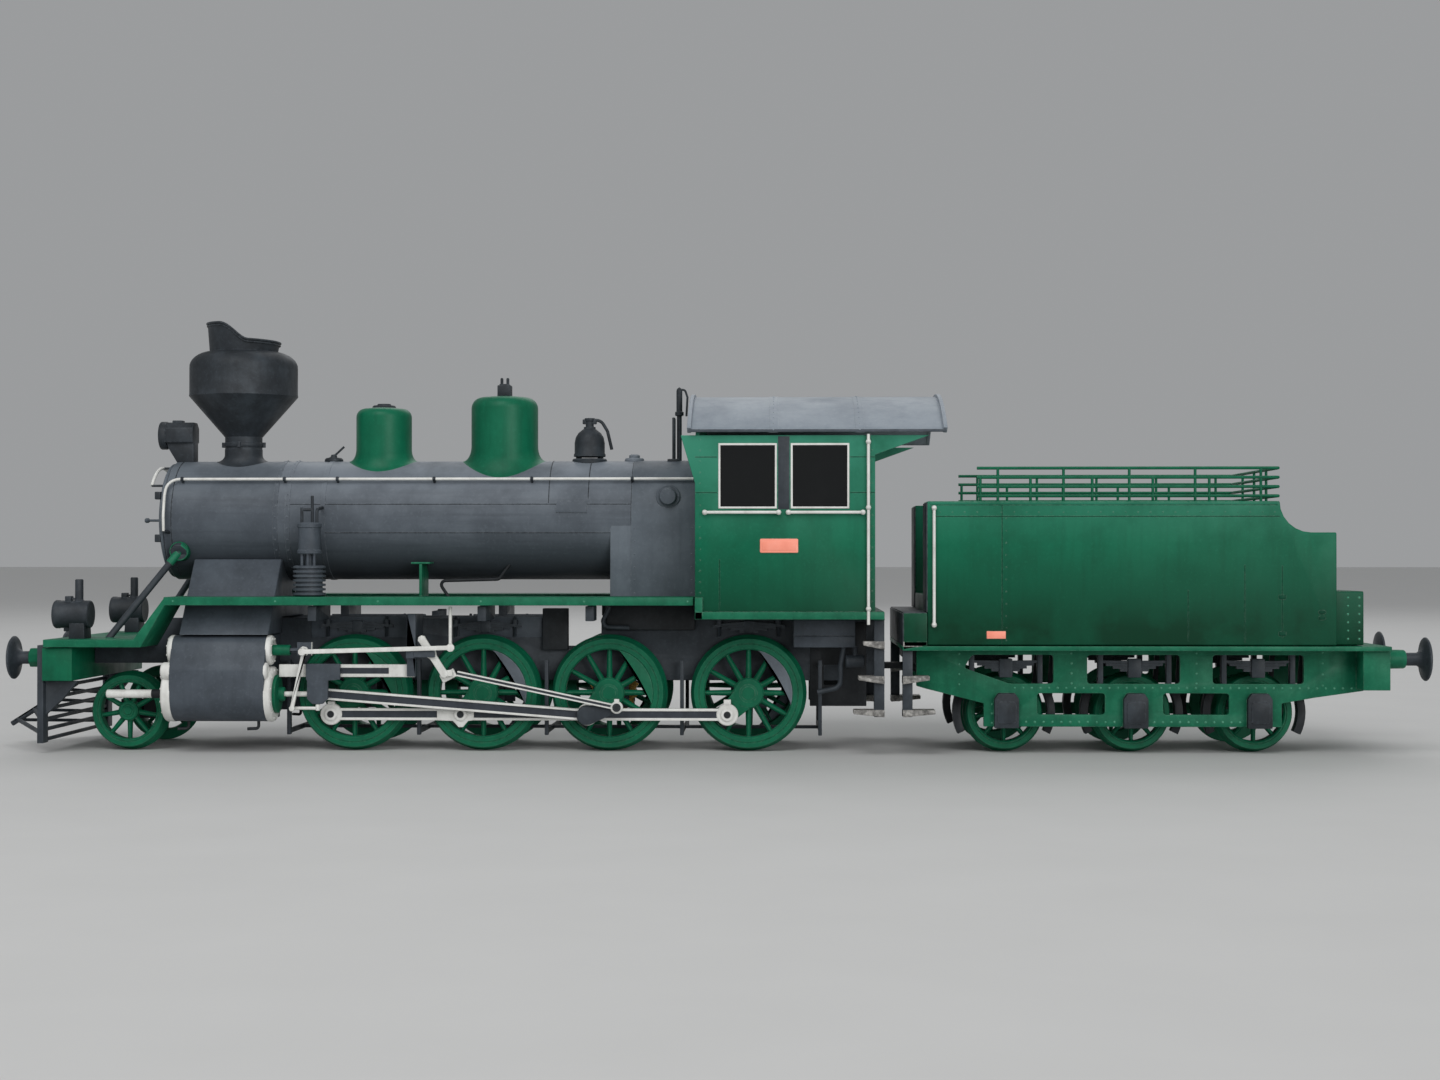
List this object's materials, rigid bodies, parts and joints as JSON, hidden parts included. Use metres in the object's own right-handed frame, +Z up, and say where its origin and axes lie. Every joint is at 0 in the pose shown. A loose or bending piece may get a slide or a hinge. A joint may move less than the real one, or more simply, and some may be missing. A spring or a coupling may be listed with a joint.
{
  "type": "model steam locomotive",
  "caption": "Model steam locomotive and tender for 45 mm track, with flared chimney, domes, outside valve gear, cowcatcher, open cab and a railed fuel bunker.",
  "frame": {"origin": "under the middle of the whole length, on the centre line, at the lowest point of the wheel flanges", "axes": "+X towards the tender's rear, +Y towards the right side, +Z up"},
  "size_m": [0.5158, 0.096, 0.1573],
  "materials": {
    "green_body": "satin green paint",
    "green_metal": "satin green paint",
    "slate_body": "slate grey paint",
    "slate_metal": "slate grey paint",
    "dark_body": "near-black paint",
    "dark_metal": "near-black paint",
    "roof_body": "pale grey paint",
    "white_metal": "off-white paint",
    "steel": "bare steel",
    "brass": "machined brass",
    "glass": "clear glazing"
  },
  "bodies": {
    "engine": {"main_frame": "dark_metal", "running_board": "green_metal", "front_beam": "green_metal", "cowcatcher": "dark_metal", "smokebox_saddle": "slate_body", "cylinder_left": "slate_metal", "cylinder_right": "slate_metal", "boiler": "slate_body", "chimney": "dark_body", "sand_dome": "green_body", "steam_dome": "green_body", "safety_valve": "dark_body", "whistle": "dark_body", "headlight": "dark_body", "air_pump": "dark_body", "cab": "green_body", "cab_roof": "roof_body", "cab_glazing": "glass", "handrail_left": "white_metal", "handrail_right": "white_metal", "front_lamp_left": "dark_body", "front_lamp_right": "dark_body", "motor": "steel", "motion_bracket_left": "slate_metal", "motion_bracket_right": "slate_metal", "brake_gear": "dark_metal"},
    "smokebox_door": {"smokebox_door": "slate_body"},
    "pony_truck": {"pony_truck": "dark_metal"},
    "pony_wheels": {"pony_wheelset": "green_metal"},
    "driver_1": {"driver_wheelset_1": "green_metal"},
    "driver_2": {"driver_wheelset_2": "green_metal"},
    "driver_3": {"driver_wheelset_3": "green_metal", "drive_gear": "brass"},
    "driver_4": {"driver_wheelset_4": "green_metal"},
    "coupling_rod_left": {"coupling_rod_left": "white_metal"},
    "main_rod_left": {"main_rod_left": "white_metal"},
    "eccentric_rod_left": {"eccentric_rod_left": "white_metal"},
    "crosshead_left": {"crosshead_left": "slate_metal"},
    "expansion_link_left": {"expansion_link_left": "white_metal"},
    "radius_rod_left": {"radius_rod_left": "white_metal"},
    "combination_lever_left": {"combination_lever_left": "white_metal"},
    "coupling_rod_right": {"coupling_rod_right": "white_metal"},
    "main_rod_right": {"main_rod_right": "white_metal"},
    "eccentric_rod_right": {"eccentric_rod_right": "white_metal"},
    "crosshead_right": {"crosshead_right": "slate_metal"},
    "expansion_link_right": {"expansion_link_right": "white_metal"},
    "radius_rod_right": {"radius_rod_right": "white_metal"},
    "combination_lever_right": {"combination_lever_right": "white_metal"},
    "worm_shaft": {"worm_shaft": "brass"},
    "drawbar": {"drawbar": "dark_metal"},
    "tender": {"tender_frame": "green_metal", "tender_tank": "green_body", "coal_rails": "green_metal"},
    "tender_wheels_1": {"tender_wheelset_1": "green_metal"},
    "tender_wheels_2": {"tender_wheelset_2": "green_metal"},
    "tender_wheels_3": {"tender_wheelset_3": "green_metal"},
    "buffer_front_left": {"buffer_front_left": "dark_metal"},
    "buffer_front_right": {"buffer_front_right": "dark_metal"},
    "buffer_rear_left": {"buffer_rear_left": "dark_metal"},
    "buffer_rear_right": {"buffer_rear_right": "dark_metal"}
  },
  "joints": [
    {"name": "driver_3_spin", "type": "hinge", "parent": "engine", "child": "driver_3", "pos_m": [-0.03274, 0, 0.02085], "axis": [0, 1, 0], "continuous": true},
    {"name": "driver_1_spin", "type": "hinge", "parent": "engine", "child": "driver_1", "pos_m": [-0.12454, 0, 0.02085], "axis": [0, 1, 0], "continuous": true},
    {"name": "driver_2_spin", "type": "hinge", "parent": "engine", "child": "driver_2", "pos_m": [-0.07804, 0, 0.02085], "axis": [0, 1, 0], "continuous": true},
    {"name": "driver_4_spin", "type": "hinge", "parent": "engine", "child": "driver_4", "pos_m": [0.01716, 0, 0.02085], "axis": [0, 1, 0], "continuous": true},
    {"name": "coupling_rod_left_pin", "type": "hinge", "parent": "driver_3", "child": "coupling_rod_left", "pos_m": [-0.04023, -0.0284, 0.01336], "axis": [0, 1, 0], "continuous": true},
    {"name": "main_rod_left_pin", "type": "hinge", "parent": "driver_3", "child": "main_rod_left", "pos_m": [-0.04023, -0.0317, 0.01336], "axis": [0, 1, 0], "continuous": true},
    {"name": "eccentric_rod_left_pin", "type": "hinge", "parent": "driver_3", "child": "eccentric_rod_left", "pos_m": [-0.02924, -0.0359, 0.01635], "axis": [0, 1, 0], "continuous": true},
    {"name": "crosshead_left_slide", "type": "slide", "parent": "engine", "child": "crosshead_left", "axis": [1, 0, 0], "range_m": [-0.0031, 0.0181]},
    {"name": "expansion_link_left_rock", "type": "hinge", "parent": "engine", "child": "expansion_link_left", "pos_m": [-0.09474, -0.0377, 0.0353], "axis": [0, 1, 0], "range_deg": [-24, 56]},
    {"name": "radius_rod_left_slide", "type": "slide", "parent": "engine", "child": "radius_rod_left", "axis": [1, 0, 0], "range_m": [-0.00096, 0.00224]},
    {"name": "combination_lever_left_swing", "type": "hinge", "parent": "radius_rod_left", "child": "combination_lever_left", "pos_m": [-0.14004, -0.0377, 0.0361], "axis": [0, 1, 0], "range_deg": [-50, 9]},
    {"name": "coupling_rod_right_pin", "type": "hinge", "parent": "driver_3", "child": "coupling_rod_right", "pos_m": [-0.04023, 0.0284, 0.02834], "axis": [0, 1, 0], "continuous": true},
    {"name": "main_rod_right_pin", "type": "hinge", "parent": "driver_3", "child": "main_rod_right", "pos_m": [-0.04023, 0.0317, 0.02834], "axis": [0, 1, 0], "continuous": true},
    {"name": "eccentric_rod_right_pin", "type": "hinge", "parent": "driver_3", "child": "eccentric_rod_right", "pos_m": [-0.03724, 0.0359, 0.01735], "axis": [0, 1, 0], "continuous": true},
    {"name": "crosshead_right_slide", "type": "slide", "parent": "engine", "child": "crosshead_right", "axis": [1, 0, 0], "range_m": [-0.0031, 0.0181]},
    {"name": "expansion_link_right_rock", "type": "hinge", "parent": "engine", "child": "expansion_link_right", "pos_m": [-0.09474, 0.0377, 0.0353], "axis": [0, 1, 0], "range_deg": [-24, 56]},
    {"name": "radius_rod_right_slide", "type": "slide", "parent": "engine", "child": "radius_rod_right", "axis": [1, 0, 0], "range_m": [-0.00096, 0.00224]},
    {"name": "combination_lever_right_swing", "type": "hinge", "parent": "radius_rod_right", "child": "combination_lever_right", "pos_m": [-0.14004, 0.0377, 0.0361], "axis": [0, 1, 0], "range_deg": [-50, 9]},
    {"name": "worm_shaft_spin", "type": "hinge", "parent": "engine", "child": "worm_shaft", "pos_m": [-0.03274, 0, 0.03365], "axis": [1, 0, 0], "continuous": true},
    {"name": "smokebox_door_hinge", "type": "hinge", "parent": "engine", "child": "smokebox_door", "pos_m": [-0.19664, 0.02083, 0.08305], "axis": [0, 0, -1], "range_deg": [0, 110]},
    {"name": "pony_truck_swing", "type": "hinge", "parent": "engine", "child": "pony_truck", "pos_m": [-0.16084, 0, 0.0142], "axis": [0, 0, 1], "range_deg": [-2, 2]},
    {"name": "pony_wheels_spin", "type": "hinge", "parent": "pony_truck", "child": "pony_wheels", "pos_m": [-0.20604, 0, 0.0142], "axis": [0, 1, 0], "continuous": true},
    {"name": "drawbar_swing", "type": "hinge", "parent": "engine", "child": "drawbar", "pos_m": [0.05966, 0, 0.0297], "axis": [0, 0, 1], "range_deg": [-3.5, 3.5]},
    {"name": "tender_swing", "type": "hinge", "parent": "drawbar", "child": "tender", "pos_m": [0.07866, 0, 0.0297], "axis": [0, 0, 1], "range_deg": [-3.5, 3.5]},
    {"name": "tender_wheels_1_spin", "type": "hinge", "parent": "tender", "child": "tender_wheels_1", "pos_m": [0.10816, 0, 0.0144], "axis": [0, 1, 0], "continuous": true},
    {"name": "tender_wheels_2_spin", "type": "hinge", "parent": "tender", "child": "tender_wheels_2", "pos_m": [0.15346, 0, 0.0144], "axis": [0, 1, 0], "continuous": true},
    {"name": "tender_wheels_3_spin", "type": "hinge", "parent": "tender", "child": "tender_wheels_3", "pos_m": [0.19676, 0, 0.0144], "axis": [0, 1, 0], "continuous": true},
    {"name": "buffer_front_left_travel", "type": "slide", "parent": "engine", "child": "buffer_front_left", "axis": [1, 0, 0], "range_m": [0, 0.0033], "stiffness_N_per_m": 300, "springref_m": -0.001},
    {"name": "buffer_front_right_travel", "type": "slide", "parent": "engine", "child": "buffer_front_right", "axis": [1, 0, 0], "range_m": [0, 0.0033], "stiffness_N_per_m": 300, "springref_m": -0.001},
    {"name": "buffer_rear_left_travel", "type": "slide", "parent": "tender", "child": "buffer_rear_left", "axis": [-1, 0, 0], "range_m": [0, 0.0033], "stiffness_N_per_m": 300, "springref_m": -0.001},
    {"name": "buffer_rear_right_travel", "type": "slide", "parent": "tender", "child": "buffer_rear_right", "axis": [-1, 0, 0], "range_m": [0, 0.0033], "stiffness_N_per_m": 300, "springref_m": -0.001}
  ],
  "couplings": [
    {"joint": "driver_1_spin", "follows": "driver_3_spin", "ratio": 1},
    {"joint": "driver_2_spin", "follows": "driver_3_spin", "ratio": 1},
    {"joint": "driver_4_spin", "follows": "driver_3_spin", "ratio": 1},
    {"joint": "coupling_rod_left_pin", "follows": "driver_3_spin", "ratio": -1},
    {"joint": "main_rod_left_pin", "follows": "driver_3_spin", "ratio": -1},
    {"joint": "eccentric_rod_left_pin", "follows": "driver_3_spin", "ratio": -1},
    {"joint": "coupling_rod_right_pin", "follows": "driver_3_spin", "ratio": -1},
    {"joint": "main_rod_right_pin", "follows": "driver_3_spin", "ratio": -1},
    {"joint": "eccentric_rod_right_pin", "follows": "driver_3_spin", "ratio": -1},
    {"joint": "worm_shaft_spin", "follows": "driver_3_spin", "ratio": 14},
    {"joint": "combination_lever_left_swing", "follows": "crosshead_left_slide", "rad_per_m": -48},
    {"joint": "combination_lever_right_swing", "follows": "crosshead_right_slide", "rad_per_m": -48},
    {"joint": "expansion_link_left_rock", "follows": "radius_rod_left_slide", "rad_per_m": 434.8},
    {"joint": "expansion_link_right_rock", "follows": "radius_rod_right_slide", "rad_per_m": 434.8}
  ]
}
